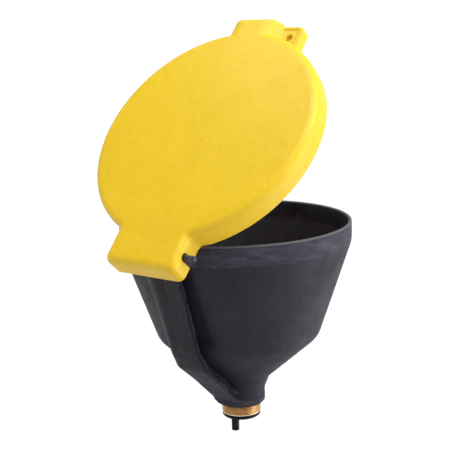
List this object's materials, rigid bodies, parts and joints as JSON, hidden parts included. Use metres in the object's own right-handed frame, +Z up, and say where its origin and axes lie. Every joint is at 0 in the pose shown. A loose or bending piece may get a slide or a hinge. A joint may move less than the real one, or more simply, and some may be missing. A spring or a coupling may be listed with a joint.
{
  "type": "drum funnel",
  "caption": "Vented bung funnel with a deep conical bowl, a hinged lid with a padlock ear, a vent tube and a threaded brass outlet.",
  "frame": {"origin": "on the funnel's axis at the lower end of the brass outlet thread", "axes": "+Z up along the axis of the bowl and thread, +Y towards the hinge and the vent duct, +X towards the plain end of the hinge pin"},
  "size_m": [0.3586, 0.4216, 0.6262],
  "materials": {
    "body_plastic": "matte, moulded, scuffed",
    "lid_plastic": "satin, moulded",
    "fitting_plastic": "satin",
    "brass": "machined",
    "seal_rubber": "matte",
    "screen_steel": "satin",
    "pin_steel": "black, satin"
  },
  "bodies": {
    "funnel": {"funnel_body": "body_plastic", "brass_fitting": "brass", "lower_neck_o_ring": "seal_rubber", "upper_neck_o_ring": "seal_rubber", "outlet_seal": "seal_rubber", "outlet_ring": "fitting_plastic", "vent_tube_grommet": "seal_rubber", "vent_tube": "fitting_plastic", "vent_elbow": "fitting_plastic", "hinge_pin": "pin_steel", "pin_clips": "screen_steel"},
    "lid": {"lid_shell": "lid_plastic", "lid_gasket": "seal_rubber", "hinge_bush_left": "fitting_plastic", "hinge_bush_right": "fitting_plastic"},
    "strainer": {"strainer_frame": "fitting_plastic", "strainer_screen": "screen_steel"}
  },
  "joints": [
    {"name": "lid_hinge", "type": "hinge", "parent": "funnel", "child": "lid", "pos_m": [0, 0.195, 0.293], "axis": [-1, 0, 0], "range_deg": [-47.5, 40]},
    {"name": "strainer_lift", "type": "slide", "parent": "funnel", "child": "strainer", "axis": [0, 0, 1], "range_m": [0, 0.19]}
  ]
}
